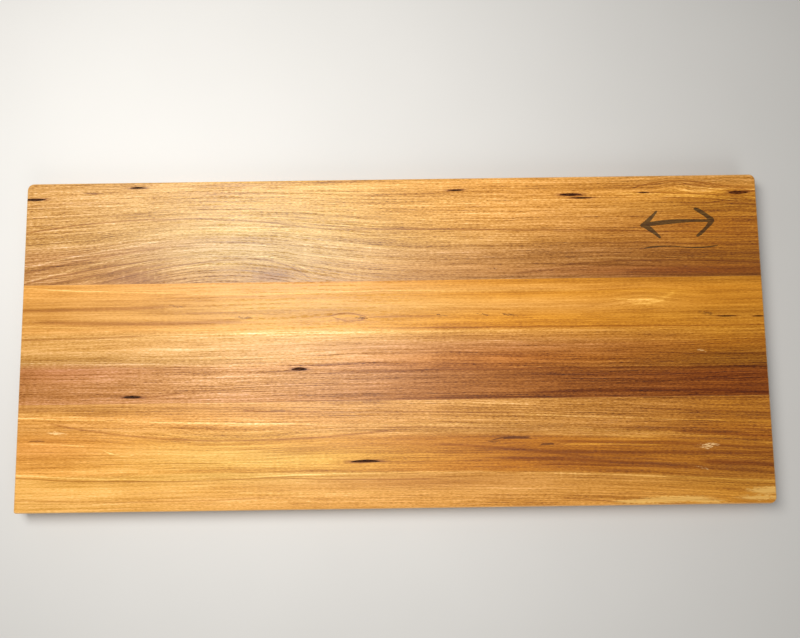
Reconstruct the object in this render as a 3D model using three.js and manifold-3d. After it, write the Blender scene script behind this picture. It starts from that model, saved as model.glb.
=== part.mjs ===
// A flat transfer board: three hardwood planks joined edge to edge with glue and hidden biscuits.
// Millimetres, +Z up. The origin is the centre of the underside, +X runs along the board's length
// and +Y points to its rear edge.

import * as THREE from 'three';
import { mergeVertices } from 'three/addons/utils/BufferGeometryUtils.js';
import Module from 'manifold-3d';

// The whole board
const LENGTH = 610;
const WIDTH = 270;
const THICKNESS = 19;
const EDGE_EASING = 1.5; // radius that takes the sharpness off every top and bottom edge

// Corner radii seen from above
const REAR_LEFT_RADIUS = 5.5;
const REAR_RIGHT_RADIUS = 5;
const FRONT_RIGHT_RADIUS = 5.5;
const FRONT_LEFT_RADIUS = 2;

// Planks and the glue between them
const MIDDLE_PLANK_WIDTH = 98;
const GLUE_THICKNESS = 0.25;

// Biscuits: thin pressed ovals with blunt tips, lying flat across a joint
const BISCUIT_LENGTH = 56;
const BISCUIT_WIDTH = 23;
const BISCUIT_THICKNESS = 4;
const BISCUIT_TIP_WIDTH = 4;
const BISCUITS_PER_JOINT = 4;
const BISCUIT_SPACING = 150;

// Slots: the cut that a biscuit joiner's saw blade leaves on both sides of a joint
const BLADE_RADIUS = 50;
const SLOT_DEPTH = 12.5;
const SLOT_HEIGHT = 4.5;

// How smooth the curves are
const CORNER_STEPS = 8;
const EASING_STEPS = 4;
const BISCUIT_STEPS = 12;
const SLOT_STEPS = 24;

const CUT_MARGIN = 10; // how far a cutting block reaches past the board

const SEAM_Y = MIDDLE_PLANK_WIDTH / 2;
const HALF_GLUE = GLUE_THICKNESS / 2;
const MID_HEIGHT = THICKNESS / 2;

const wasm = await Module();
wasm.setup();

// Turns a closed three.js geometry into a solid that can be cut.
function toSolid(geometry) {
  geometry.deleteAttribute('normal');
  geometry.deleteAttribute('uv');
  const merged = mergeVertices(geometry);
  const mesh = new wasm.Mesh({
    numProp: 3,
    vertProperties: new Float32Array(merged.attributes.position.array),
    triVerts: new Uint32Array(merged.index.array),
  });
  return new wasm.Manifold(mesh);
}

function toGeometry(solid) {
  const mesh = solid.getMesh();
  const geometry = new THREE.BufferGeometry();
  geometry.setAttribute('position', new THREE.BufferAttribute(mesh.vertProperties, 3));
  geometry.setIndex(new THREE.BufferAttribute(mesh.triVerts, 1));
  geometry.computeVertexNormals();
  return geometry;
}

// A rectangle with a different radius at each corner, drawn counter-clockwise from the front left.
function boardOutline() {
  const x = LENGTH / 2;
  const y = WIDTH / 2;
  const quarter = Math.PI / 2;
  const outline = new THREE.Shape();
  const corner = (signX, signY, radius, start) => {
    outline.absarc(signX * (x - radius), signY * (y - radius), radius, start, start + quarter);
  };
  outline.moveTo(-x + FRONT_LEFT_RADIUS, -y);
  corner(1, -1, FRONT_RIGHT_RADIUS, -quarter);
  corner(1, 1, REAR_RIGHT_RADIUS, 0);
  corner(-1, 1, REAR_LEFT_RADIUS, quarter);
  corner(-1, -1, FRONT_LEFT_RADIUS, 2 * quarter);
  return outline;
}

// The board as one block before it is divided, with its edges already eased.
function boardBlank() {
  const geometry = new THREE.ExtrudeGeometry(boardOutline(), {
    depth: THICKNESS - 2 * EDGE_EASING,
    bevelEnabled: true,
    bevelThickness: EDGE_EASING,
    bevelSize: EDGE_EASING,
    bevelOffset: -EDGE_EASING,
    bevelSegments: EASING_STEPS,
    curveSegments: CORNER_STEPS,
  });
  geometry.translate(0, 0, EDGE_EASING);
  return toSolid(geometry);
}

// A block across the whole board between two distances from its long centre line.
function strip(frontY, rearY) {
  const height = THICKNESS + 2 * CUT_MARGIN;
  const block = new THREE.BoxGeometry(LENGTH + 2 * CUT_MARGIN, rearY - frontY, height);
  block.translate(0, (frontY + rearY) / 2, MID_HEIGHT);
  return toSolid(block);
}

// Extrudes a flat outline to a height, centred on the board's mid height.
function midSlab(outline, height, curveSegments) {
  const geometry = new THREE.ExtrudeGeometry(outline, {
    depth: height,
    bevelEnabled: false,
    curveSegments,
  });
  geometry.translate(0, 0, MID_HEIGHT - height / 2);
  return geometry;
}

// A biscuit's two long sides are arcs that meet its blunt tips.
function biscuitGeometry() {
  const halfLength = BISCUIT_LENGTH / 2;
  const tip = BISCUIT_TIP_WIDTH / 2;
  const rise = BISCUIT_WIDTH / 2 - tip;
  const radius = (halfLength ** 2 + rise ** 2) / (2 * rise);
  const centre = BISCUIT_WIDTH / 2 - radius;
  const halfAngle = Math.asin(halfLength / radius);
  const up = Math.PI / 2;
  const outline = new THREE.Shape();
  outline.moveTo(halfLength, tip);
  outline.absarc(0, centre, radius, up - halfAngle, up + halfAngle);
  outline.absarc(0, -centre, radius, -up - halfAngle, -up + halfAngle);
  return midSlab(outline, BISCUIT_THICKNESS, BISCUIT_STEPS);
}

// Both halves of a slot together: two shallow arcs cut by the blade, one into each plank.
function slotSolid(x, seamY) {
  const centre = BLADE_RADIUS - SLOT_DEPTH;
  const halfAngle = Math.acos(centre / BLADE_RADIUS);
  const up = Math.PI / 2;
  const outline = new THREE.Shape();
  outline.absarc(0, -centre, BLADE_RADIUS, up - halfAngle, up + halfAngle);
  outline.absarc(0, centre, BLADE_RADIUS, -up - halfAngle, -up + halfAngle);
  const geometry = midSlab(outline, SLOT_HEIGHT, SLOT_STEPS);
  geometry.translate(x, seamY, 0);
  return toSolid(geometry);
}

function biscuitPlaces() {
  const first = (-(BISCUITS_PER_JOINT - 1) * BISCUIT_SPACING) / 2;
  return Array.from({ length: BISCUITS_PER_JOINT }, (_, index) => first + index * BISCUIT_SPACING);
}

// The blank without the slots of both joints.
function slottedBlank() {
  let blank = boardBlank();
  for (const seamY of [-SEAM_Y, SEAM_Y]) {
    for (const x of biscuitPlaces()) {
      blank = blank.subtract(slotSolid(x, seamY));
    }
  }
  return blank;
}

const plankFinish = { roughness: 0.42, metalness: 0 };
const tanWood = new THREE.MeshStandardMaterial({ color: '#c3935a', ...plankFinish });
const orangeWood = new THREE.MeshStandardMaterial({ color: '#c58743', ...plankFinish });
const honeyWood = new THREE.MeshStandardMaterial({ color: '#c78a46', ...plankFinish });
const beech = { color: '#c9a67c', roughness: 0.8, metalness: 0 };
const driedGlue = { color: '#6e4523', roughness: 0.5, metalness: 0 };

const board = new THREE.Group();
const blank = slottedBlank();

function addPiece(name, geometry, material) {
  const piece = new THREE.Mesh(geometry, material);
  piece.name = name;
  board.add(piece);
  return piece;
}

function addStrip(name, frontY, rearY, material) {
  addPiece(name, toGeometry(blank.intersect(strip(frontY, rearY))), material);
}

function addPlanks() {
  const edge = WIDTH / 2 + CUT_MARGIN;
  addStrip('rear_plank', SEAM_Y + HALF_GLUE, edge, tanWood);
  addStrip('middle_plank', -SEAM_Y + HALF_GLUE, SEAM_Y - HALF_GLUE, orangeWood);
  addStrip('front_plank', -edge, -SEAM_Y - HALF_GLUE, honeyWood);
}

// One joint: its film of glue, with a window at each biscuit, and the biscuits themselves.
function addJoint(name, seamY) {
  const glue = new THREE.MeshStandardMaterial(driedGlue);
  addStrip(`${name}_glue_line`, seamY - HALF_GLUE, seamY + HALF_GLUE, glue);
  biscuitPlaces().forEach((x, index) => {
    const material = new THREE.MeshStandardMaterial(beech);
    const biscuit = addPiece(`${name}_biscuit_${index + 1}`, biscuitGeometry(), material);
    biscuit.position.set(x, seamY, 0);
  });
}

addPlanks();
addJoint('rear', SEAM_Y);
addJoint('front', -SEAM_Y);

export default board;
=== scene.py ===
"""Looks of a wooden transfer board: three oiled planks, edge-glued, lying on a pale studio floor."""

import math
from collections import namedtuple

import bmesh
import bpy
from mathutils import Matrix, Vector


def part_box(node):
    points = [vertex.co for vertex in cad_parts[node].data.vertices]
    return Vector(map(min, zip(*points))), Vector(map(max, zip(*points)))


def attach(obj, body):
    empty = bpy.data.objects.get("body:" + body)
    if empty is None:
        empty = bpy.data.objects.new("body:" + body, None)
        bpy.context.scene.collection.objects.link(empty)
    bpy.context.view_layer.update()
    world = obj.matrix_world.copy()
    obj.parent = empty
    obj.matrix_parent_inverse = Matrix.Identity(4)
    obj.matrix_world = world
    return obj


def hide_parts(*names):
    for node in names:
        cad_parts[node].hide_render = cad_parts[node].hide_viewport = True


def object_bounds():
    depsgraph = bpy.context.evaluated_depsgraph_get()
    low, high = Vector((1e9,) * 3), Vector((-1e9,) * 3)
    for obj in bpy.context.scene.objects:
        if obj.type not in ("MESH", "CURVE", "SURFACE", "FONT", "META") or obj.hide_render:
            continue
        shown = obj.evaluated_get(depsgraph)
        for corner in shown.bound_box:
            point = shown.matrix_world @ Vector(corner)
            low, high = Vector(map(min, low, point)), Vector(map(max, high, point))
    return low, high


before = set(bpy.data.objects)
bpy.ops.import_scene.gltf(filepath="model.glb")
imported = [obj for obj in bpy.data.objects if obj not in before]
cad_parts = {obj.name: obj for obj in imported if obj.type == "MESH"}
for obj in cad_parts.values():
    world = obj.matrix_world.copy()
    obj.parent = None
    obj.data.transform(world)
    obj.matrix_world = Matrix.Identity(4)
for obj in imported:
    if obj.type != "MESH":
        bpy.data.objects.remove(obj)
cad_low, cad_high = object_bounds()

MM = 0.001
PER_MM = (1 / MM, 1 / MM, 1 / MM)

# The board's sizes, in millimetres, from the CAD frame
LENGTH = (cad_high.x - cad_low.x) / MM
WIDTH = (cad_high.y - cad_low.y) / MM
THICKNESS = (cad_high.z - cad_low.z) / MM

# Edges and corners, in millimetres
EDGE_EASING = 1.5
REAR_LEFT_RADIUS = 5.5
REAR_RIGHT_RADIUS = 5
FRONT_RIGHT_RADIUS = 5.5
FRONT_LEFT_RADIUS = 2
CORNER_STEPS = 12
EASING_STEPS = 6

# Biscuit slots, in millimetres
BLADE_RADIUS = 50
SLOT_DEPTH = 12.5
SLOT_HEIGHT = 4.5

# How far the shapes that cut the top face reach above it, in millimetres
CUTTER_RISE = 0.5

# A place on the top face is given in millimetres from the board's left end and from its rear edge.
Pocket = namedtuple("Pocket", "along across length width bend")
Mark = namedtuple("Mark", "along across length width strength")
Bulge = namedtuple("Bulge", "along across reach_along reach_across lift")

# A long line in the grain runs from start to end. Its place across is given at both and half-way.
Line = namedtuple("Line", "start end across_start across_middle across_end width strength")

# A growth band has its place across, its colour at the left, middle and right, and how much its
# grain shows.
Band = namedtuple("Band", "across left middle right grain")

# A brush stroke has its two ends, how far its middle bows towards the rear edge, and its width.
Stroke = namedtuple("Stroke", "along across to_along to_across bow width")


def row_point(along, across, depth):
    """The row-frame point of a place on the board, in metres. Depth is below the top face."""
    x = cad_low.x + along * MM
    y = cad_high.y - across * MM
    return Vector((x, y, cad_high.z - depth * MM))


# ---------------------------------------------------------------- camera, lights and floor

WARM_WHITE = (1, 0.97, 0.93)


def make_camera():
    """A phone camera held over the board, a little in front of its middle and tilted to the rear."""
    height = 0.5063
    aside = Vector((0.0058, -0.0310, 0))
    tilt = math.radians(5.415)
    roll = math.radians(-0.79)
    data = bpy.data.cameras.new("camera")
    data.lens = 27.9
    data.sensor_width = 36
    data.clip_start = 0.01
    camera = bpy.data.objects.new("camera", data)
    place = Matrix.Translation(aside + Vector((0, 0, cad_high.z + height)))
    camera.matrix_world = place @ Matrix.Rotation(tilt, 4, "X") @ Matrix.Rotation(roll, 4, "Z")
    bpy.context.scene.collection.objects.link(camera)
    bpy.context.scene.camera = camera


def make_light(name, place, aim, size, power):
    """A soft oval light that shines from a place towards a point. Size is its width and length."""
    data = bpy.data.lights.new(name, "AREA")
    data.shape = "ELLIPSE"
    data.size, data.size_y = size
    data.energy = power
    data.color = WARM_WHITE
    light = bpy.data.objects.new(name, data)
    light.location = place
    light.rotation_euler = (Vector(aim) - Vector(place)).to_track_quat("-Z", "Y").to_euler()
    bpy.context.scene.collection.objects.link(light)


def make_lights():
    key_place = (-0.21, 0.15, 0.64)
    key_aim = (-0.1, 0.03, 0)
    fill_place = (0.5, -1.6, 1.3)
    make_light("key_light", key_place, key_aim, size=(0.28, 0.55), power=5.6)
    make_light("front_fill", fill_place, (0, 0, 0), size=(1.2, 1.2), power=8.0)
    world = bpy.data.worlds.new("studio")
    world.use_nodes = True
    background = world.node_tree.nodes["Background"]
    background.inputs["Color"].default_value = (*WARM_WHITE, 1)
    background.inputs["Strength"].default_value = 0.25
    bpy.context.scene.world = world
    bpy.context.scene.view_settings.view_transform = "Standard"


def make_floor():
    """A plain pale floor that the board lies on."""
    reach = 12
    sides = [(-1, -1), (1, -1), (1, 1), (-1, 1)]
    mesh = bpy.data.meshes.new("floor")
    mesh.from_pydata([(x * reach, y * reach, cad_low.z) for x, y in sides], [], [(0, 1, 2, 3)])
    floor = bpy.data.objects.new("floor", mesh)
    bpy.context.scene.collection.objects.link(floor)
    shader = Shader("floor_paint")
    mottle = shader.noise(shader.coordinates((1, 1, 1)), scale=3, detail=4)
    greys = [(0.3, (0.60, 0.60, 0.59)), (0.7, (0.64, 0.64, 0.63))]
    shader.set("Base Color", shader.ramp(mottle, greys))
    shader.set("Roughness", 0.75)
    mesh.materials.append(shader.material)


# ---------------------------------------------------------------- shader building


class Shader:
    """One material's node tree. Most methods add a node and return its output socket."""

    def __init__(self, name):
        self.material = bpy.data.materials.new(name)
        self.material.use_nodes = True
        self.tree = self.material.node_tree
        self.surface = self.tree.nodes["Principled BSDF"]

    def node(self, kind, inputs, **settings):
        node = self.tree.nodes.new(kind)
        for setting, value in settings.items():
            setattr(node, setting, value)
        for key, value in inputs.items():
            self.feed(node.inputs[key], value)
        return node

    def feed(self, socket, value):
        if isinstance(value, bpy.types.NodeSocket):
            self.tree.links.new(value, socket)
        elif socket.type == "RGBA" and len(value) == 3:
            socket.default_value = (*value, 1)
        else:
            socket.default_value = value

    def set(self, name, value):
        self.feed(self.surface.inputs[name], value)

    def math(self, operation, first, second=0.0, third=0.0):
        inputs = {0: first, 1: second, 2: third}
        return self.node("ShaderNodeMath", inputs, operation=operation).outputs[0]

    def vector(self, operation, first, second=(0, 0, 0), third=(0, 0, 0)):
        inputs = {0: first, 1: second}
        if operation == "MULTIPLY_ADD":
            inputs[2] = third
        node = self.node("ShaderNodeVectorMath", inputs, operation=operation)
        return node.outputs["Value" if operation == "DOT_PRODUCT" else "Vector"]

    def split(self, vector):
        return self.node("ShaderNodeSeparateXYZ", {0: vector}).outputs

    def join(self, x, y, z):
        return self.node("ShaderNodeCombineXYZ", {0: x, 1: y, 2: z}).outputs[0]

    def coordinates(self, scales, offset=(0, 0, 0)):
        """The point's place in the row frame, times the scales, plus the offset."""
        place = self.node("ShaderNodeTexCoord", {}).outputs["Object"]
        return self.vector("MULTIPLY_ADD", place, scales, offset)

    def noise(self, place, scale=1.0, detail=2.0, roughness=0.5):
        inputs = {"Vector": place, "Scale": scale, "Detail": detail, "Roughness": roughness}
        return self.node("ShaderNodeTexNoise", inputs).outputs["Fac"]

    def lumps(self, place, sizes, detail=2.0, roughness=0.5):
        """A noise, from 0 to 1, whose lumps have about the given size in each direction."""
        scales = tuple(1 / size for size in sizes)
        return self.noise(self.vector("MULTIPLY", place, scales), detail=detail, roughness=roughness)

    def step(self, value, low, high):
        """0 at low, 1 at high, and smooth between them. Low may be the larger of the two."""
        inputs = {"Value": value, "From Min": low, "From Max": high}
        node = self.node("ShaderNodeMapRange", inputs, interpolation_type="SMOOTHSTEP")
        return node.outputs["Result"]

    def spread(self, value, low, high, to_low, to_high):
        """Turns the values from low to high into those from to_low to to_high."""
        inputs = {"Value": value, "From Min": low, "From Max": high, "To Min": to_low, "To Max": to_high}
        return self.node("ShaderNodeMapRange", inputs).outputs["Result"]

    def ramp(self, value, stops):
        """The colour at a value, between stops that each have a value from 0 to 1 and a colour."""
        node = self.node("ShaderNodeValToRGB", {0: value})
        elements = node.color_ramp.elements
        while len(elements) < len(stops):
            elements.new(1)
        for element, (position, colour) in zip(elements, stops):
            element.position = position
            element.color = (*colour, 1)
        return node.outputs["Color"]

    def mix(self, share, first, second):
        inputs = {0: share, 6: first, 7: second}
        return self.node("ShaderNodeMix", inputs, data_type="RGBA").outputs[2]

    def tint(self, mask, colour, factors):
        """The colour, multiplied by the factors where the mask is 1."""
        return self.mix(mask, colour, self.vector("MULTIPLY", colour, factors))

    def bump(self, height, distance, strength):
        inputs = {"Height": height, "Distance": distance, "Strength": strength}
        self.set("Normal", self.node("ShaderNodeBump", inputs).outputs[0])


# ---------------------------------------------------------------- wood


def blob(shader, place, centre, reach):
    """A soft round hump: 1 at the centre, falling off over the reach in each direction."""
    scales = tuple(1 / distance for distance in reach)
    offset = tuple(-middle / distance for middle, distance in zip(centre, reach))
    away = shader.vector("MULTIPLY_ADD", place, scales, offset)
    squared = shader.vector("DOT_PRODUCT", away, away)
    return shader.math("EXPONENT", shader.math("MULTIPLY", squared, -1))


def lean_place(shader, place, look):
    """The place with its across value leaned and bowed through the thickness, as the rings are."""
    along, across, depth = shader.split(place)
    bow = shader.math("MULTIPLY", shader.math("MULTIPLY", depth, depth), look["bow"])
    leaned = shader.math("MULTIPLY_ADD", depth, look["lean"], shader.math("ADD", across, bow))
    return shader.join(along, leaned, depth)


def ring_place(shader, place, bulges):
    """The place with its across value turned into a growth-ring value.

    The rings wander along the grain and swell at bulges.
    """
    bulge_depth = 40
    slow_wander = 5
    quick_wander = 1.4
    along, across, depth = shader.split(place)
    slow = shader.lumps(place, (210, 45, 45), detail=1)
    quick = shader.lumps(place, (38, 9, 12), detail=1)
    ring = shader.math("MULTIPLY_ADD", slow, slow_wander, across)
    ring = shader.math("MULTIPLY_ADD", quick, quick_wander, ring)
    ring = shader.math("SUBTRACT", ring, (slow_wander + quick_wander) / 2)
    for bulge in bulges:
        centre = (bulge.along, bulge.across, 0)
        hump = blob(shader, place, centre, (bulge.reach_along, bulge.reach_across, bulge_depth))
        ring = shader.math("MULTIPLY_ADD", hump, bulge.lift, ring)
    return shader.join(along, ring, depth)


def mark_mask(shader, place, marks):
    """A mask with a long soft lens at each mark, near the top face only."""
    mark_depth = 5
    mask = 0.0
    for mark in marks:
        reach = (mark.length / 2, mark.width / 2, mark_depth)
        hump = blob(shader, place, (mark.along, mark.across, 0), reach)
        mask = shader.math("MAXIMUM", mask, shader.math("MULTIPLY", hump, mark.strength))
    return mask


def line_mask(shader, place, lines, taper):
    """A mask with every long line, each fading out over a taper, a share of its length."""
    full_share = 0.1
    along, across, _ = shader.split(place)
    mask = 0.0
    for line in lines:
        share = shader.spread(along, line.start, line.end, 0, 1)
        bend = 2 * (line.across_start + line.across_end) - 4 * line.across_middle
        slope = line.across_end - line.across_start - bend
        path = shader.math("MULTIPLY_ADD", share, bend, slope)
        path = shader.math("MULTIPLY_ADD", share, path, line.across_start)
        away = shader.math("ABSOLUTE", shader.math("SUBTRACT", across, path))
        from_end = shader.math("PINGPONG", share, 0.5)
        strength = shader.math("MULTIPLY", shader.step(from_end, 0, taper), line.strength)
        near = shader.step(away, line.width, line.width * full_share)
        mask = shader.math("MAXIMUM", mask, shader.math("MULTIPLY", near, strength))
    return mask


def pore_rows(shader, rings, period):
    """1 in the rows of open pores that start each growth ring, 0 in the dense wood between them.

    The rings are unevenly wide, and some rows fade out along the board.
    """
    wobble_reach = 1.6
    spacing_reach = 16
    row_start = 0.2
    row_end = 0.85
    wobble = shader.lumps(rings, (17, 3, 8), detail=1)
    spacing = shader.lumps(rings, (700, 9, 60), detail=2)
    fading = shader.lumps(rings, (45, 2.2, 20), detail=1)
    ring = shader.split(rings)[1]
    phase = shader.math("MULTIPLY_ADD", wobble, wobble_reach, ring)
    phase = shader.math("MULTIPLY_ADD", spacing, spacing_reach, phase)
    tooth = shader.math("FRACT", shader.math("DIVIDE", phase, period))
    start = shader.step(tooth, low=0, high=row_start)
    fade = shader.step(tooth, low=row_end, high=row_start)
    rows = shader.math("MULTIPLY", start, fade)
    return shader.math("MULTIPLY", rows, shader.step(fading, low=0.34, high=0.62))


def band_colours(shader, along, ring, bands):
    """The colour of the growth bands, from the left end's colours to the right end's.

    Also returns how strongly the grain shows in each band.
    """
    first = bands[0].across
    last = bands[-1].across
    share = shader.spread(ring, first, last, 0, 1)
    places = [(band.across - first) / (last - first) for band in bands]

    def blended(colours):
        return shader.ramp(share, list(zip(places, colours)))

    left = blended(band.left for band in bands)
    middle = blended(band.middle for band in bands)
    right = blended(band.right for band in bands)
    show = blended((band.grain,) * 3 for band in bands)
    colour = shader.mix(shader.spread(along, LEFT_END, MIDDLE_END, 0, 1), left, middle)
    colour = shader.mix(shader.spread(along, MIDDLE_END, RIGHT_END, 0, 1), colour, right)
    return colour, show


def grain_parts(shader, place, rings, period):
    """The noises that the grain is made of, from broad growth bands down to open pores."""
    parts = {}
    for name, sizes in PART_SIZES.items():
        noise = shader.lumps(rings, sizes, detail=2, roughness=0.6)
        parts[name] = shader.math("SUBTRACT", noise, 0.5)
    cloud = shader.lumps(place, (80, 20, 28), detail=3)
    parts["cloud"] = shader.math("SUBTRACT", cloud, 0.5)
    dashes = shader.lumps(rings, (5, 0.5, 0.5), detail=2)
    rows = pore_rows(shader, rings, period)
    parts["rows"] = rows
    parts["pores"] = shader.math("MULTIPLY", rows, shader.step(dashes, low=0.46, high=0.6))
    return parts


def grain_brightness(shader, parts, show):
    """How much brighter or darker than its band each point of the grain is."""
    broad_amount = 0.9
    cloud_amount = 0.45
    level = 1.06
    lines = 0.0
    for name, amount in LINE_AMOUNTS.items():
        lines = shader.math("MULTIPLY_ADD", parts[name], amount, lines)
    grain = shader.math("MULTIPLY", lines, show)
    grain = shader.math("MULTIPLY_ADD", parts["broad"], broad_amount, grain)
    grain = shader.math("MULTIPLY_ADD", parts["cloud"], cloud_amount, grain)
    return shader.math("ADD", grain, level)


def at_brightness(shader, colour, brightness):
    """The colour at a brightness. Dark grain is redder than its band and bright grain yellower."""
    green_power = 1.4
    blue_power = 3.0
    green = shader.math("POWER", brightness, green_power)
    blue = shader.math("POWER", brightness, blue_power)
    return shader.vector("MULTIPLY", colour, shader.join(brightness, green, blue))


def pocket_tails(pockets):
    """A dark line through each gum pocket that runs on past both of its tips."""
    reach_share = 0.85
    width_share = 0.85
    strength = 1.2
    tails = []
    for pocket in pockets:
        reach = pocket.length * reach_share
        middle = pocket.across + pocket.bend / 2
        ends = (pocket.along - reach, pocket.along + reach)
        width = pocket.width * width_share
        tails.append(Line(*ends, pocket.across, middle, pocket.across, width, strength))
    return tails


def with_lines(shader, colour, place, leaned, look, fibres):
    """The colour with the look's long lines, which wander a little and break up into fibres."""
    line_taper = 0.12
    tail_taper = 0.4
    wander_range = 1.6
    wander = shader.lumps(place, (30, 12, 12), detail=2)
    wander = shader.math("MULTIPLY_ADD", wander, wander_range, -wander_range / 2)
    wandered = shader.vector("ADD", leaned, shader.join(0, wander, 0))
    for factors, lines in look["lines"]:
        mask = shader.math("MULTIPLY", line_mask(shader, wandered, lines, line_taper), fibres)
        colour = shader.tint(mask, colour, factors)
    tails = line_mask(shader, wandered, pocket_tails(look["pockets"]), tail_taper)
    return shader.tint(tails, colour, TAIL_BROWN)


def with_patches(shader, colour, place, patches, fibres):
    """The colour with soft patches that make it darker, paler or warmer. The glowing and yellower patches
    are painted highlight where the key light's glare falls.
    """
    for factors, marks in patches:
        mask = shader.math("MULTIPLY", mark_mask(shader, place, marks), fibres)
        colour = shader.tint(mask, colour, factors)
    return colour


def with_marks(shader, colour, place, groups, parts):
    """The colour with small marks of other colours, ragged at the edges and streaky inside."""
    shift_along = 18
    shift_across = 5
    fibre_share = 0.7
    ragged = shader.lumps(place, (3, 0.9, 1), detail=3)
    ragged = shader.math("ADD", shader.math("SUBTRACT", ragged, 0.5), parts["fibre"])
    move_along = shader.math("MULTIPLY", ragged, shift_along)
    move_across = shader.math("MULTIPLY", ragged, shift_across)
    moved = shader.vector("ADD", place, shader.join(move_along, move_across, 0))
    streaks = shader.math("MULTIPLY_ADD", parts["fibre"], fibre_share, parts["fine"])
    streaks = shader.spread(streaks, low=-0.16, high=0.08, to_low=0.45, to_high=0.95)
    for mark_colour, marks in groups:
        mask = shader.step(mark_mask(shader, moved, marks), low=0.15, high=0.55)
        colour = shader.mix(shader.math("MULTIPLY", mask, streaks), colour, mark_colour)
    return colour


def end_and_edge(shader):
    """Two masks by which way the surface faces: the board's ends, and its eased edges."""
    normal = shader.node("ShaderNodeNewGeometry", {}).outputs["Normal"]
    facing_end, _, facing_up = shader.split(shader.vector("ABSOLUTE", normal))
    end = shader.step(facing_end, low=0.4, high=0.95)
    off_flat = shader.step(facing_up, low=0.99, high=0.9)
    off_side = shader.step(facing_up, low=0.1, high=0.5)
    return end, shader.math("MULTIPLY", off_flat, off_side)


def set_wood_surface(shader, parts, end, gloss):
    """Oil that is duller over pores and end grain, on a fine relief of fibres and pores."""
    oiled = 0.4
    fibre_amount = 0.2
    pore_amount = 0.2
    end_amount = 0.15
    pore_sinking = -0.8
    roughness = shader.math("MULTIPLY_ADD", parts["fine"], fibre_amount, oiled)
    roughness = shader.math("MULTIPLY_ADD", parts["pores"], pore_amount, roughness)
    roughness = shader.math("MULTIPLY_ADD", end, end_amount, roughness)
    shader.set("Roughness", roughness)
    shader.set("Specular IOR Level", gloss)
    height = shader.math("MULTIPLY_ADD", parts["pores"], pore_sinking, parts["fine"])
    shader.bump(height, distance=0.0001, strength=0.6)


def plank_material(name, look, burn=None):
    """Oiled wood cut from one solid pattern, so that the top, edges and ends agree.

    look holds the plank's own bands, bulges, lines and marks. burn tints a burned mark.
    """
    shader = Shader(name)
    place = shader.coordinates((1 / MM, -1 / MM, -1 / MM), (LENGTH / 2, WIDTH / 2, THICKNESS))
    leaned = lean_place(shader, place, look)
    rings = ring_place(shader, leaned, look["bulges"])
    along, ring, _ = shader.split(rings)
    colour, show = band_colours(shader, along, ring, look["bands"])
    show = shader.math("MULTIPLY", show, shader.spread(along, 0, LENGTH, *look["contrast"]))
    parts = grain_parts(shader, place, rings, look["period"])
    colour = at_brightness(shader, colour, grain_brightness(shader, parts, show))

    fibres = shader.spread(parts["fine"], low=-0.2, high=0.1, to_low=0.6, to_high=1)
    colour = with_lines(shader, colour, place, leaned, look, fibres)
    colour = with_patches(shader, colour, place, look["patches"], fibres)
    colour = with_marks(shader, colour, place, look["marks"], parts)

    # End grain drinks more oil, so it is darker; the eased edges get a painted highlight, a paler cream
    # that stands in for the light they catch
    end, edge = end_and_edge(shader)
    colour = shader.tint(end, colour, OILED_END)
    colour = shader.mix(shader.math("MULTIPLY", edge, EDGE_HIGHLIGHT_STRENGTH), colour, EDGE_HIGHLIGHT_CREAM)
    if burn:
        colour = shader.vector("MULTIPLY", colour, burn)
    shader.set("Base Color", colour)
    set_wood_surface(shader, parts, end, look["gloss"])
    return shader.material


def tone(colour, brightness):
    return tuple(channel * brightness for channel in colour)


# How long, wide and deep the lumps of each part of the grain are, in millimetres
PART_SIZES = {
    "broad": (300, 9, 40),
    "medium": (190, 2.7, 30),
    "fine": (110, 0.85, 16),
    "fibre": (20, 0.6, 0.8),
    "speck": (3, 0.55, 0.6),
}

# How strongly each part of the grain shows
LINE_AMOUNTS = {
    "medium": 0.85,
    "fine": 1.7,
    "fibre": 1.3,
    "speck": 1.9,
    "rows": -0.10,
    "pores": -0.22,
}

# Where along the board the left, middle and right colours of a band are reached
LEFT_END = 60
MIDDLE_END = 400
RIGHT_END = 570

# Colours of the wood before it is lit
STRAW = (0.69, 0.35, 0.07)
SAND = (0.525, 0.258, 0.056)
GOLD = (0.62, 0.275, 0.045)
AMBER = (0.62, 0.24, 0.015)
TAN = (0.44, 0.20, 0.048)
RUSSET = (0.42, 0.165, 0.037)
CLAY = (0.36, 0.113, 0.012)
UMBER = (0.42, 0.14, 0.006)
MAROON = (0.22, 0.05, 0.002)

# Colours of the marks, and of the painted highlight on the eased edges, before they are lit
CREAM = (0.95, 0.62, 0.27)
PALE_GOLD = (0.86, 0.51, 0.13)
EDGE_HIGHLIGHT_CREAM = (0.80, 0.50, 0.20)
BROWN_MARK = (0.15, 0.045, 0.004)

# How strongly the painted highlight on the eased edges shows
EDGE_HIGHLIGHT_STRENGTH = 0.45

# What lines, patches, tails of pockets, cracks and end grain multiply the wood's colour by. The glowing and
# yellower tints are painted highlight, brightening and yellowing the wood where the key light's glare
# falls.
DARKER = (0.58, 0.42, 0.15)
PALER = (1.40, 1.68, 2.5)
PAINTED_GLARE_BRIGHTER = (1.25, 1.40, 1.32)
WARMER = (1.08, 0.97, 0.62)
BROWNER = (0.60, 0.47, 0.38)
REDDER = (0.85, 0.62, 0.45)
PAINTED_GLARE_YELLOWER = (0.98, 1.20, 1.15)
TAIL_BROWN = (0.40, 0.24, 0.15)
CRACK_BROWN = (0.30, 0.22, 0.10)
OILED_END = (0.72, 0.62, 0.55)

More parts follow.
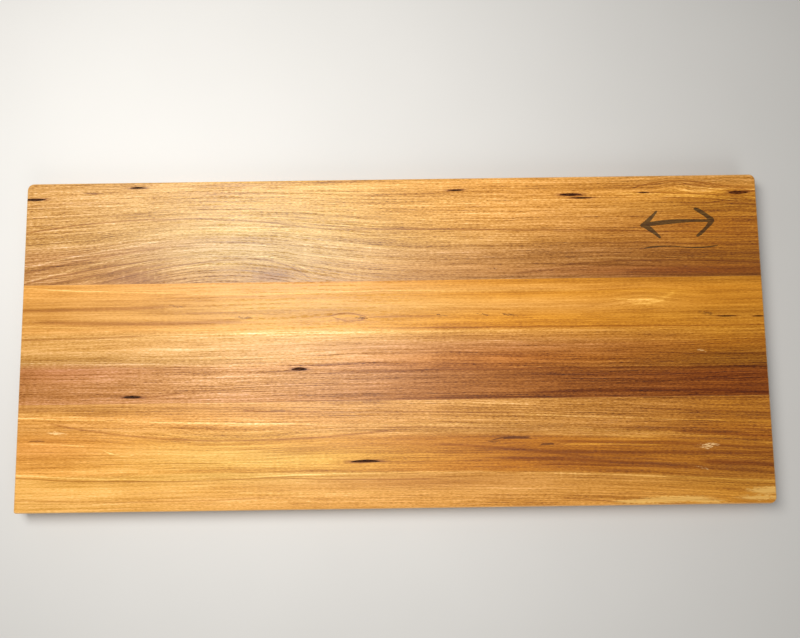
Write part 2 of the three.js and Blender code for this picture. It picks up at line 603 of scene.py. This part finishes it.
# Dark gum pockets that are open at the top face
REAR_POCKETS = [
    Pocket(7.0, 13.6, 20, 2.2, 0.2),
    Pocket(93, 5, 15, 1.6, -0.3),
    Pocket(358.8, 10.2, 15, 1.4, 0.3),
    Pocket(454.7, 15.4, 20, 2.5, 0.2),
    Pocket(464, 18.2, 19, 1.6, 0.2),
    Pocket(516, 14.5, 10, 1.2, 0),
    Pocket(595, 15.4, 18, 2.8, 0.2),
]
MIDDLE_POCKETS = [
    Pocket(228.3, 158, 14, 2.7, -0.3),
    Pocket(92.9, 178.7, 17, 2.3, 0),
    Pocket(578.6, 119, 18, 1.1, 0.2),
    Pocket(605, 119.5, 11, 1.1, 0),
]
FRONT_POCKETS = [
    Pocket(281.7, 232.6, 26, 2.3, -0.5),
]

# The burned mark is a two-headed arrow over a thin rule. BURN is what it multiplies the wood's
# colour by, and its depth is in millimetres.
BURN = (0.22, 0.25, 0.30)
BURN_DEPTH = 0.12
BURN_STROKES = [
    Stroke(513, 42.5, 571, 39.5, 1.5, 4.2),
    Stroke(512, 43.5, 526, 30.5, -1.0, 3.9),
    Stroke(512.5, 41.5, 528, 53.5, 1.2, 4.6),
    Stroke(573, 40.5, 557, 28.5, 1.2, 4.6),
    Stroke(572.5, 38, 558, 52.5, -1.2, 3.9),
    Stroke(514, 61.8, 545, 61.2, 1.1, 1.2),
    Stroke(575, 60.4, 543, 61.0, -1.1, 1.2),
]

# A look is what one plank has of its own. Besides its pockets, bands, bulges, lines, patches and
# marks, it says how far the growth rings lean and bow through the thickness, how wide a ring is,
# how glossy the plank is, and how strongly the grain shows at its left and right ends.
REAR_LOOK = {
    "pockets": REAR_POCKETS,
    "bands": [
        Band(-10, tone(SAND, 0.93), GOLD, GOLD, 0.9),
        Band(5, tone(SAND, 0.93), tone(GOLD, 1.08), GOLD, 0.9),
        Band(15, tone(SAND, 0.93), tone(GOLD, 1.02), tone(AMBER, 0.97), 1),
        Band(26, tone(SAND, 0.89), tone(GOLD, 1.03), tone(AMBER, 0.76), 1),
        Band(40, tone(SAND, 0.88), tone(GOLD, 0.93), tone(UMBER, 1.0), 1),
        Band(54, tone(SAND, 0.82), tone(GOLD, 0.83), tone(UMBER, 0.92), 1),
        Band(64, tone(TAN, 0.88), tone(TAN, 1.08), tone(UMBER, 0.78), 1),
        Band(74, tone(TAN, 0.80), tone(TAN, 0.98), tone(UMBER, 0.72), 0.9),
        Band(86, tone(TAN, 0.78), tone(TAN, 0.84), tone(UMBER, 0.54), 0.9),
        Band(110, tone(TAN, 0.78), tone(TAN, 0.8), tone(UMBER, 0.5), 0.9),
    ],
    "bulges": [
        Bulge(165, 100, 95, 60, 28),
        Bulge(541, 8, 12, 8, 2.5),
        Bulge(562, 14, 14, 8, -2.2),
        Bulge(588, 18, 14, 8, 2),
    ],
    "lean": 0.75,
    "bow": 0.012,
    "period": 2.7,
    "gloss": 0.5,
    "contrast": (1.1, 1),
    "lines": [
        (
            DARKER,
            [
                Line(-40, 250, 50, 32, 42.5, 1.1, 1.04),
                Line(235, 640, 42, 45.3, 51, 1.0, 0.98),
                Line(-30, 150, 93, 73, 63, 1.1, 0.9),
                Line(-60, 130, 104, 83, 68, 1.3, 0.9),
                Line(-50, 165, 76, 60, 54, 0.9, 0.6),
                Line(-30, 125, 84, 66.5, 55, 1.5, 0.8),
                Line(50, 190, 90, 72.5, 66.5, 1.1, 0.8),
                Line(186, 240, 66.5, 70.5, 86, 1.2, 0.9),
                Line(200, 320, 58, 69, 75, 0.9, 0.5),
                Line(430, 640, 76, 72, 77.5, 1.2, 0.91),
                Line(450, 640, 56.5, 58, 61, 0.9, 0.65),
                Line(395, 560, 83, 76.5, 80, 1.3, 0.65),
                Line(500, 582, 13, 5, 12, 0.9, 1.04),
                Line(545, 606, 5, 8, 14, 1.1, 0.9),
                Line(552, 628, 9.5, 12.5, 18, 0.9, 0.8),
                Line(524, 615, 20, 20.5, 28, 1.2, 0.9),
                Line(540, 640, 25, 24.5, 29, 1.5, 0.8),
                Line(520, 608, 15, 16.5, 21, 0.9, 0.95),
                Line(536, 572, 9.5, 8, 11.5, 1.1, 0.9),
                Line(566, 612, 11, 10.5, 13.5, 0.9, 0.9),
                Line(480, 640, 10, 8, 15, 0.8, 0.65),
                Line(0, 90, 19, 17.5, 17.5, 0.9, 0.59),
            ],
        ),
        (
            PALER,
            [
                Line(-30, 120, 80, 62, 50, 1.3, 0.91),
                Line(-30, 100, 93, 75, 60, 1.3, 0.91),
                Line(45, 165, 87, 67, 66, 0.8, 0.78),
                Line(190, 246, 64.5, 68.5, 84, 0.9, 0.8),
                Line(70, 180, 88, 74.5, 70, 0.8, 0.6),
                Line(445, 640, 70.5, 69.6, 74, 0.8, 0.78),
                Line(485, 640, 15, 17.5, 22.5, 1.1, 0.9),
                Line(530, 640, 6.5, 12.5, 13, 0.9, 0.9),
                Line(525, 612, 13, 14, 18.5, 0.9, 0.9),
                Line(528, 600, 19, 19, 24, 0.8, 0.8),
                Line(200, 470, 18, 19.5, 20, 0.7, 0.52),
                Line(200, 330, 66, 76, 78, 0.7, 0.52),
            ],
        ),
    ],
    "patches": [
        # The yellower and glowing patches are painted highlight where the key light's glare falls
        (PAINTED_GLARE_YELLOWER, [Mark(205, 45, 260, 120, 1.1)]),
        (PALER, [Mark(195, 74, 240, 36, 0.3)]),
        (PAINTED_GLARE_BRIGHTER, [Mark(205, 68, 240, 34, 0.5)]),
        (WARMER, [Mark(230, 80, 480, 30, 1.2)]),
        (BROWNER, [Mark(92, 82, 50, 15, 1), Mark(205, 81, 40, 13, 1.1), Mark(178, 79, 60, 7, 0.4)]),
        (PALER, [Mark(83, 81, 2.2, 9, 0.5), Mark(97, 79, 2.4, 12, 0.5), Mark(103.5, 78, 2.4, 13, 0.45)]),
        (PALER, [Mark(109, 80, 2, 9, 0.35), Mark(233, 62, 2, 18, 0.35), Mark(237.5, 55, 1.6, 12, 0.3)]),
        (REDDER, [Mark(545, 81, 230, 10, 1.1)]),
        (DARKER, [Mark(355, 79, 110, 16, 0.18)]),
    ],
    "marks": [
        (BROWN_MARK, [Mark(56, 9, 14, 1.4, 1), Mark(390, 77.5, 9, 0.8, 0.9)]),
    ],
}

MIDDLE_LOOK = {
    "pockets": MIDDLE_POCKETS,
    "bands": [
        Band(60, tone(GOLD, 0.9), AMBER, tone(AMBER, 0.8), 0.5),
        Band(88, tone(GOLD, 0.87), tone(AMBER, 0.93), tone(AMBER, 0.8), 0.5),
        Band(94.5, tone(GOLD, 0.90), tone(GOLD, 1.06), tone(AMBER, 1.04), 0.5),
        Band(98, tone(GOLD, 0.83), tone(AMBER, 0.96), tone(AMBER, 0.96), 0.45),
        Band(108, tone(GOLD, 0.78), tone(GOLD, 1.02), tone(AMBER, 0.96), 0.45),
        Band(117, tone(GOLD, 0.76), tone(AMBER, 0.98), tone(AMBER, 0.82), 0.55),
        Band(125, tone(GOLD, 0.82), tone(AMBER, 0.98), tone(AMBER, 0.9), 0.65),
        Band(129, tone(SAND, 1.0), tone(GOLD, 0.98), tone(AMBER, 0.82), 0.8),
        Band(140, tone(SAND, 0.98), tone(RUSSET, 1.08), tone(UMBER, 0.97), 0.85),
        Band(150, tone(SAND, 0.80), tone(CLAY, 1.12), tone(UMBER, 0.72), 1),
        Band(156, tone(RUSSET, 0.80), CLAY, tone(UMBER, 0.62), 1.1),
        Band(163, tone(RUSSET, 0.86), tone(CLAY, 0.79), tone(MAROON, 0.98), 1.2),
        Band(184, tone(RUSSET, 0.88), tone(CLAY, 0.8), tone(MAROON, 0.95), 1.2),
        Band(210, RUSSET, tone(CLAY, 0.8), tone(MAROON, 0.95), 1.25),
    ],
    "bulges": [Bulge(512, 103, 26, 8, 4), Bulge(268, 116, 14, 4, 2.5)],
    "lean": -0.6,
    "bow": 0.01,
    "period": 2.4,
    "gloss": 0.34,
    "contrast": (0.8, 1.1),
    "lines": [
        (
            DARKER,
            [
                Line(300, 660, 125.5, 126.1, 126.9, 1.1, 0.8),
                Line(-60, 130, 106, 107, 105, 2.4, 0.75),
                Line(5, 190, 116, 119, 117.5, 3.2, 0.75),
                Line(130, 215, 111.5, 111, 113.5, 0.8, 0.65),
                Line(250, 286, 116, 112.6, 117.5, 0.7, 1.17),
                Line(254, 286, 115, 119, 116.5, 0.7, 1.17),
                Line(280, 345, 116.8, 115.5, 116.2, 0.7, 0.78),
                Line(-60, 110, 131.5, 131, 129, 1.6, 0.65),
                Line(230, 640, 160.5, 159.8, 161.5, 1.3, 0.78),
                Line(400, 660, 180, 178.6, 185, 1.8, 1.04),
                Line(300, 470, 182.5, 182.6, 183, 1.2, 0.78),
                Line(350, 620, 164.5, 165.3, 166.5, 0.9, 0.65),
                Line(100, 134, 178.8, 178, 175.4, 0.8, 0.91),
                Line(470, 640, 147, 149, 150.5, 1.2, 0.65),
            ],
        ),
        (
            PALER,
            [
                Line(-40, 135, 85, 91.3, 94.6, 0.8, 0.78),
                Line(120, 300, 94.6, 95.6, 94, 0.8, 0.65),
                Line(290, 470, 94, 95.6, 96, 0.9, 0.65),
                Line(-60, 65, 120, 120.6, 122.5, 0.9, 0.78),
                Line(-60, 175, 149, 151.6, 153.5, 0.9, 0.78),
                Line(390, 560, 158.4, 158.6, 159.3, 0.8, 0.78),
                Line(440, 660, 171, 172, 176.5, 0.9, 0.78),
                Line(150, 420, 128.2, 128.6, 129, 1.6, 0.52),
                Line(486, 524, 103.6, 104.4, 104.2, 0.9, 0.9),
                Line(500, 530, 107.8, 107.4, 105.0, 1.2, 0.6),
                Line(512, 538, 109.0, 104.5, 98.5, 2.4, 0.45),
                Line(468, 515, 98, 97, 97.5, 0.9, 0.4),
                Line(300, 600, 136, 137, 139, 0.8, 0.52),
            ],
        ),
    ],
    "patches": [
        (PALER, [Mark(516, 105, 44, 9, 0.45), Mark(532, 99, 40, 8, 0.3), Mark(220, 130, 260, 8, 0.3)]),
        (PALER, [Mark(200, 160, 230, 40, 0.9)]),
        # The glowing and yellower patches are painted highlight where the key light's glare falls
        (PAINTED_GLARE_BRIGHTER, [Mark(190, 169, 210, 46, 1)]),
        (PAINTED_GLARE_YELLOWER, [Mark(230, 108, 260, 50, 0.7)]),
        (REDDER, [Mark(30, 158, 130, 16, 0.5)]),
    ],
    "marks": [
        (CREAM, [Mark(555.8, 146.8, 2.4, 1.8, 0.9)]),
        (
            BROWN_MARK,
            [
                Mark(125.5, 105, 3.4, 1.4, 0.9),
                Mark(130, 105, 3.4, 1.4, 0.9),
                Mark(183, 115, 13, 1, 0.9),
                Mark(279.5, 116.8, 8, 1.5, 1.1),
                Mark(345, 115.5, 9, 1.2, 0.9),
                Mark(380, 115.3, 7, 1, 0.8),
                Mark(400, 115.5, 9, 1.3, 1),
                Mark(562.8, 116.6, 8, 2, 1.1),
            ],
        ),
    ],
}

FRONT_LOOK = {
    "pockets": FRONT_POCKETS,
    "bands": [
        Band(160, tone(GOLD, 0.73), tone(GOLD, 0.86), tone(UMBER, 0.88), 1),
        Band(186, tone(GOLD, 0.76), tone(GOLD, 0.87), tone(UMBER, 0.9), 1),
        Band(194, tone(GOLD, 0.94), tone(GOLD, 0.85), tone(UMBER, 1.0), 1),
        Band(203, tone(GOLD, 0.84), tone(GOLD, 0.78), tone(UMBER, 1.03), 1),
        Band(210, tone(GOLD, 0.95), tone(UMBER, 1.03), tone(UMBER, 0.92), 0.75),
        Band(226, tone(GOLD, 0.99), tone(UMBER, 1.02), tone(UMBER, 0.93), 0.75),
        Band(235, tone(GOLD, 1.04), tone(UMBER, 1.1), tone(UMBER, 0.82), 0.75),
        Band(239.5, tone(GOLD, 1.06), tone(UMBER, 1.02), tone(UMBER, 0.8), 0.75),
        Band(242, tone(STRAW, 0.98), tone(GOLD, 0.92), tone(AMBER, 0.7), 0.6),
        Band(252, tone(STRAW, 1.03), tone(GOLD, 0.93), tone(AMBER, 0.85), 0.6),
        Band(262, tone(STRAW, 0.95), GOLD, tone(AMBER, 0.84), 0.7),
        Band(290, tone(STRAW, 0.95), tone(GOLD, 1.08), tone(AMBER, 0.9), 0.7),
    ],
    "bulges": [
        Bulge(650, 190, 420, 30, -14),
        Bulge(165, 214, 70, 12, -6),
        Bulge(700, 250, 200, 60, -12),
    ],
    "lean": 0.9,
    "bow": -0.01,
    "period": 2.9,
    "gloss": 0.46,
    "contrast": (0.72, 1.25),
    "lines": [
        (
            DARKER,
            [
                Line(20, 150, 198, 209, 213.4, 1.4, 0.78),
                Line(90, 320, 211, 214.3, 206, 1.4, 0.91),
                Line(-60, 240, 237, 246, 242.5, 0.9, 0.91),
                Line(190, 345, 243.4, 246.6, 246.4, 0.9, 0.91),
                Line(-60, 215, 257, 261.6, 260, 0.9, 0.72),
                Line(200, 420, 192, 193.5, 195.5, 1.0, 0.72),
                Line(490, 660, 193, 196.4, 202, 1.0, 0.78),
                Line(525, 660, 211.5, 215.5, 223, 2.6, 0.9),
                Line(330, 470, 219, 224, 233, 1.9, 0.75),
                Line(380, 560, 231, 234.5, 242, 2.4, 0.9),
                Line(545, 650, 236, 238.5, 242, 3.2, 1.1),
                Line(290, 430, 205.6, 206.8, 209, 1.4, 0.52),
                Line(436, 500, 263, 265.5, 268.6, 0.7, 0.91),
                Line(395, 660, 226, 228.5, 231, 2.0, 0.9),
                Line(425, 620, 218.5, 221, 226.5, 2.0, 0.9),
                Line(410, 600, 236.5, 239, 244.5, 1.2, 0.78),
                Line(455, 660, 208, 209.5, 214, 1.3, 0.65),
                Line(180, 225, 191, 191.4, 191.6, 0.7, 1.04),
            ],
        ),
        (
            CRACK_BROWN,
            [
                Line(382, 417, 217.2, 214.6, 216.4, 1.0, 1.0),
                Line(391, 415, 215.8, 215.2, 215.6, 1.5, 1.3),
                Line(422, 434, 221.2, 220.6, 221.0, 1.1, 1.1),
                Line(204, 218, 190.9, 191.2, 191.3, 0.7, 0.7),
                Line(10, 24, 213.2, 212.9, 213.4, 0.8, 0.9),
            ],
        ),
        (
            PALER,
            [
                Line(-40, 400, 192.6, 201, 204, 0.8, 1.17),
                Line(395, 660, 196, 202, 207, 0.8, 1.04),
                Line(-60, 60, 187, 191, 194.5, 0.9, 0.78),
                Line(8, 60, 215.4, 216, 218, 0.7, 0.91),
                Line(70, 96, 221, 225, 224.5, 0.8, 1.04),
                Line(-60, 200, 235.5, 243.6, 246, 0.8, 0.78),
                Line(170, 410, 244.4, 241.6, 242.5, 0.9, 1.04),
                Line(385, 660, 242, 247.4, 255.5, 0.8, 0.95),
                Line(160, 260, 232, 233, 233.6, 1.0, 0.52),
                Line(170, 300, 256, 257, 257, 0.9, 0.52),
                Line(440, 640, 209.0, 214.5, 226, 2.4, 0.6),
                Line(435, 525, 221.5, 221.3, 223, 1.1, 0.91),
                Line(420, 520, 212.5, 214, 216.5, 1.0, 0.78),
                Line(500, 660, 230.5, 233, 237.5, 0.9, 0.65),
                Line(300, 420, 186.4, 187, 188.5, 1.0, 0.52),
            ],
        ),
    ],
    "patches": [
        (PALER, [Mark(500, 215.5, 80, 8, 0.4), Mark(190, 231, 250, 24, 0.3)]),
        # The glowing and yellower patches are painted highlight where the key light's glare falls
        (PAINTED_GLARE_BRIGHTER, [Mark(290, 229, 130, 16, 0.8), Mark(175, 214, 230, 18, 0.7)]),
        (DARKER, [Mark(455, 232, 110, 12, 0.45), Mark(400, 219, 90, 10, 0.35), Mark(17, 222, 60, 10, 0.2)]),
        (DARKER, [Mark(320, 249, 180, 11, 0.75), Mark(5, 187, 90, 9, 0.45)]),
        (PALER, [Mark(438, 244.5, 1.4, 8, 0.5), Mark(449.5, 246, 1.4, 7, 0.4)]),
        (PAINTED_GLARE_YELLOWER, [Mark(190, 231, 230, 30, 1)]),
        (REDDER, [Mark(30, 218, 120, 22, 0.4)]),
    ],
    "marks": [
        (
            PALE_GOLD,
            [
                Mark(505, 266.6, 50, 3.4, 0.9),
                Mark(530, 265.2, 56, 4.2, 0.9),
                Mark(556, 267.4, 30, 2.4, 0.7),
                Mark(606, 259.5, 34, 5.5, 0.9),
                Mark(598, 265, 40, 3.4, 0.8),
            ],
        ),
        (
            CREAM,
            [
                Mark(33, 207, 11, 1.8, 0.9),
                Mark(556.5, 223.8, 7, 2.4, 0.9),
                Mark(561, 222.4, 7, 1.6, 0.8),
                Mark(555, 225.4, 4, 1.2, 0.8),
                Mark(553, 241.5, 5, 1.3, 0.5),
            ],
        ),
        (
            BROWN_MARK,
            [
                Mark(386, 218, 12, 1.5, 0.8),
                Mark(428, 221, 7, 1.5, 0.8),
            ],
        ),
    ],
}


def gum_material():
    """Dark dried gum that fills the pockets unevenly, blacker at the left and redder at the right."""
    shader = Shader("dark_gum")
    place = shader.coordinates(PER_MM)
    clots = shader.lumps(place, (3, 1, 1), detail=3)
    black_gum = shader.ramp(clots, [(0.4, (0.020, 0.009, 0.006)), (0.7, (0.10, 0.036, 0.014))])
    red_gum = shader.ramp(clots, [(0.4, (0.045, 0.009, 0.003)), (0.7, (0.18, 0.05, 0.010))])
    share = shader.spread(shader.split(place)[0], 0, LENGTH / 2, 0, 1)
    shader.set("Base Color", shader.mix(share, black_gum, red_gum))
    shader.set("Roughness", shader.spread(clots, low=0.3, high=0.7, to_low=0.7, to_high=0.9))
    shader.set("Specular IOR Level", 0.05)
    shader.bump(clots, distance=0.0002, strength=0.6)
    return shader.material


def glue_material():
    """Dried yellow glue, sanded flush and oiled over, so only a brown hairline."""
    shader = Shader("glue_film")
    patches = shader.lumps(shader.coordinates(PER_MM), (25, 1, 4), detail=3)
    browns = [(0.35, (0.30, 0.12, 0.03)), (0.7, (0.46, 0.21, 0.05))]
    shader.set("Base Color", shader.ramp(patches, browns))
    shader.set("Roughness", shader.spread(patches, low=0.3, high=0.7, to_low=0.4, to_high=0.5))
    shader.bump(patches, distance=0.00005, strength=0.3)
    return shader.material


def beech_material():
    """Pressed beech with short dark flecks."""
    fleck_strength = 0.5
    fleck_brown = (0.30, 0.15, 0.07)
    shader = Shader("pressed_beech")
    place = shader.coordinates(PER_MM)
    fibres = shader.lumps(place, (9, 0.7, 0.7), detail=3)
    flecks = shader.step(shader.lumps(place, (3, 0.5, 0.5)), low=0.6, high=0.7)
    colour = shader.ramp(fibres, [(0.3, (0.46, 0.28, 0.14)), (0.7, (0.62, 0.42, 0.24))])
    colour = shader.mix(shader.math("MULTIPLY", flecks, fleck_strength), colour, fleck_brown)
    shader.set("Base Color", colour)
    shader.set("Roughness", shader.spread(fibres, low=0.3, high=0.7, to_low=0.7, to_high=0.85))
    shader.bump(fibres, distance=0.0001, strength=0.5)
    return shader.material


# ---------------------------------------------------------------- plank meshes


def board_loop(inset, height):
    """The board's outline seen from above, drawn in by an inset, at a height over the underside."""
    corners = [
        (1, -1, FRONT_RIGHT_RADIUS, -90),
        (1, 1, REAR_RIGHT_RADIUS, 0),
        (-1, 1, REAR_LEFT_RADIUS, 90),
        (-1, -1, FRONT_LEFT_RADIUS, 180),
    ]
    points = []
    for side_x, side_y, radius, start in corners:
        centre_x = side_x * (LENGTH / 2 - radius)
        centre_y = side_y * (WIDTH / 2 - radius)
        for step in range(CORNER_STEPS + 1):
            angle = math.radians(start + 90 * step / CORNER_STEPS)
            x = centre_x + (radius - inset) * math.cos(angle)
            y = centre_y + (radius - inset) * math.sin(angle)
            points.append(Vector((x, y, height)) * MM)
    return points


def join_rings(solid, lower, upper):
    """A band of four-sided faces between two rings of as many points."""
    for index in range(len(lower)):
        after = (index + 1) % len(lower)
        solid.faces.new((lower[index], lower[after], upper[after], upper[index]))


def board_shell():
    """The whole board as one closed mesh with eased top and bottom edges."""
    rise = []
    for step in range(EASING_STEPS + 1):
        angle = math.radians(90 * step / EASING_STEPS)
        rise.append((EDGE_EASING * (1 - math.sin(angle)), EDGE_EASING * (1 - math.cos(angle))))
    profile = rise + [(inset, THICKNESS - height) for inset, height in reversed(rise)]
    shell = bmesh.new()
    loops = [[shell.verts.new(point) for point in board_loop(*level)] for level in profile]
    for lower, upper in zip(loops, loops[1:]):
        join_rings(shell, lower, upper)
    shell.faces.new(list(reversed(loops[0])))
    shell.faces.new(loops[-1])
    return shell


def cut_shell(shell, y, keep_rear):
    """Cuts the shell straight along its length and closes the cut."""
    on_the_cut = 1e-7
    geometry = shell.verts[:] + shell.edges[:] + shell.faces[:]
    away = Vector((0, -1, 0)) if keep_rear else Vector((0, 1, 0))
    result = bmesh.ops.bisect_plane(
        shell, geom=geometry, dist=on_the_cut, plane_co=(0, y, 0), plane_no=away, clear_outer=True
    )
    edges = [item for item in result["geom_cut"] if isinstance(item, bmesh.types.BMEdge)]
    bmesh.ops.edgeloop_fill(shell, edges=edges)


def new_object(name, mesh_data, material):
    mesh = bpy.data.meshes.new(name)
    bmesh.ops.recalc_face_normals(mesh_data, faces=mesh_data.faces[:])
    mesh_data.to_mesh(mesh)
    mesh_data.free()
    mesh.materials.append(material)
    piece = bpy.data.objects.new(name, mesh)
    bpy.context.scene.collection.objects.link(piece)
    return piece


def prism(outline, low, high):
    """A closed upright prism over an outline of (x, y) points, in metres."""
    solid = bmesh.new()
    bottom = [solid.verts.new((x, y, low)) for x, y in outline]
    top = [solid.verts.new((x, y, high)) for x, y in outline]
    solid.faces.new(list(reversed(bottom)))
    solid.faces.new(top)
    join_rings(solid, bottom, top)
    return solid


def slot_cutter(biscuit_low, biscuit_high):
    """What a biscuit joiner's blade cuts away around one biscuit."""
    steps = 20
    middle = (biscuit_low + biscuit_high) / 2
    centre = (BLADE_RADIUS - SLOT_DEPTH) * MM
    half_angle = math.acos((BLADE_RADIUS - SLOT_DEPTH) / BLADE_RADIUS)
    outline = []
    for side in (1, -1):
        for step in range(steps):
            angle = half_angle * (1 - 2 * step / steps)
            x = side * BLADE_RADIUS * MM * math.sin(angle)
            y = side * (BLADE_RADIUS * MM * math.cos(angle) - centre)
            outline.append((middle.x + x, middle.y + y))
    half_height = SLOT_HEIGHT * MM / 2
    return prism(outline, middle.z - half_height, middle.z + half_height)


def pocket_cutter(pocket):
    """A long boat shape that leaves an open pocket with pointed ends in the top face."""
    stations = 14
    rounds = 8
    deepest = 0.7
    fullness = 1.8
    boat = bmesh.new()
    rows = []
    for station in range(1, stations):
        share = 2 * station / stations - 1
        full = 1 - abs(share) ** fullness
        half = pocket.width / 2 * full
        bend = pocket.bend * (1 - share * share)
        section = []
        for turn in range(rounds + 1):
            angle = math.pi * turn / rounds
            section.append((half * math.cos(angle) + bend, deepest * full * math.sin(angle)))
        section += [(-half + bend, -CUTTER_RISE), (half + bend, -CUTTER_RISE)]
        along = pocket.along + share * pocket.length / 2
        points = [row_point(along, pocket.across + aside, depth) for aside, depth in section]
        rows.append([boat.verts.new(point) for point in points])
    tips = []
    for end in (-1, 1):
        tip = row_point(pocket.along + end * pocket.length / 2, pocket.across, -CUTTER_RISE / 2)
        tips.append(boat.verts.new(tip))
    for lower, upper in zip(rows, rows[1:]):
        join_rings(boat, lower, upper)
    for tip, row in zip(tips, (rows[0], rows[-1])):
        for index in range(len(row)):
            boat.faces.new((tip, row[index], row[(index + 1) % len(row)]))
    return boat


def stroke_cutter(stroke):
    """A shallow prism under one brush stroke, whose width wavers and shrinks towards its end."""
    steps = 18
    waver = 0.12
    waver_rate = 9
    first_width = 0.45
    opening_rate = 6
    thinning = 0.45
    last_width = 0.5
    closing_rate = 9
    start = Vector((stroke.along, stroke.across))
    run = Vector((stroke.to_along, stroke.to_across)) - start
    aside = Vector((-run.y, run.x)).normalized()
    edges = ([], [])
    for step in range(steps + 1):
        share = step / steps
        arch = 4 * share * (1 - share)
        swell = 1 + waver * math.sin(waver_rate * share + stroke.along)
        opening = min(1, first_width + opening_rate * share)
        closing = min(1, last_width + closing_rate * (1 - share))
        taper = opening * (1 - thinning * share) * closing
        half = stroke.width / 2 * swell * taper
        centre = start + run * share - Vector((0, stroke.bow)) * arch
        edges[0].append(centre + aside * half)
        edges[1].append(centre - aside * half)
    outline = [row_point(point.x, point.y, 0).xy for point in edges[0] + edges[1][::-1]]
    return prism(outline, cad_high.z - BURN_DEPTH * MM, cad_high.z + CUTTER_RISE * MM)


def subtract(piece, cutter):
    """Cuts the cutter object's shape and material into the piece and removes the cutter."""
    cut = piece.modifiers.new("cut", "BOOLEAN")
    cut.operation = "DIFFERENCE"
    cut.solver = "EXACT"
    cut.material_mode = "TRANSFER"
    cut.object = cutter
    apply_modifiers(piece)
    bpy.data.objects.remove(cutter)


def apply_modifiers(piece):
    bpy.context.view_layer.update()
    finished = piece.evaluated_get(bpy.context.evaluated_depsgraph_get())
    mesh = bpy.data.meshes.new_from_object(finished)
    piece.modifiers.clear()
    piece.data = mesh


def smooth_edges(piece):
    """Shades the eased edges as round and the flat faces as flat."""
    sharp_angle = 32
    for polygon in piece.data.polygons:
        polygon.use_smooth = True
    piece.data.set_sharp_from_angle(angle=math.radians(sharp_angle))
    weighted = piece.modifiers.new("weighted", "WEIGHTED_NORMAL")
    weighted.keep_sharp = True
    weighted.weight = 100
    apply_modifiers(piece)


def cut_slots(plank, low, high):
    """Cuts the slot of every biscuit that reaches into the plank."""
    for biscuit in sorted(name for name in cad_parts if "biscuit" in name):
        biscuit_low, biscuit_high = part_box(biscuit)
        if biscuit_high.y > low.y and biscuit_low.y < high.y:
            cutter = slot_cutter(biscuit_low, biscuit_high)
            subtract(plank, new_object("slot", cutter, plank.data.materials[0]))


def make_plank(node, look, gum, strokes=()):
    low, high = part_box(node)
    shell = board_shell()
    if low.y > cad_low.y + MM:
        cut_shell(shell, low.y, keep_rear=True)
    if high.y < cad_high.y - MM:
        cut_shell(shell, high.y, keep_rear=False)
    plank = new_object(node + "_wood", shell, plank_material(node + "_wood", look))
    cut_slots(plank, low, high)
    for pocket in look["pockets"]:
        subtract(plank, new_object("pocket", pocket_cutter(pocket), gum))
    if strokes:
        burned = plank_material(node + "_burned", look, burn=BURN)
        for stroke in strokes:
            subtract(plank, new_object("stroke", stroke_cutter(stroke), burned))
    smooth_edges(plank)
    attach(plank, "root")
    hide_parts(node)


def dress_cad_nodes():
    """Glue films and biscuits keep their CAD shapes and get their own materials."""
    glue = glue_material()
    beech = beech_material()
    for name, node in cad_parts.items():
        if "glue" in name or "biscuit" in name:
            node.data.materials.clear()
            node.data.materials.append(glue if "glue" in name else beech)


make_camera()
make_lights()
make_floor()
gum = gum_material()
make_plank("rear_plank", REAR_LOOK, gum, BURN_STROKES)
make_plank("middle_plank", MIDDLE_LOOK, gum)
make_plank("front_plank", FRONT_LOOK, gum)
dress_cad_nodes()
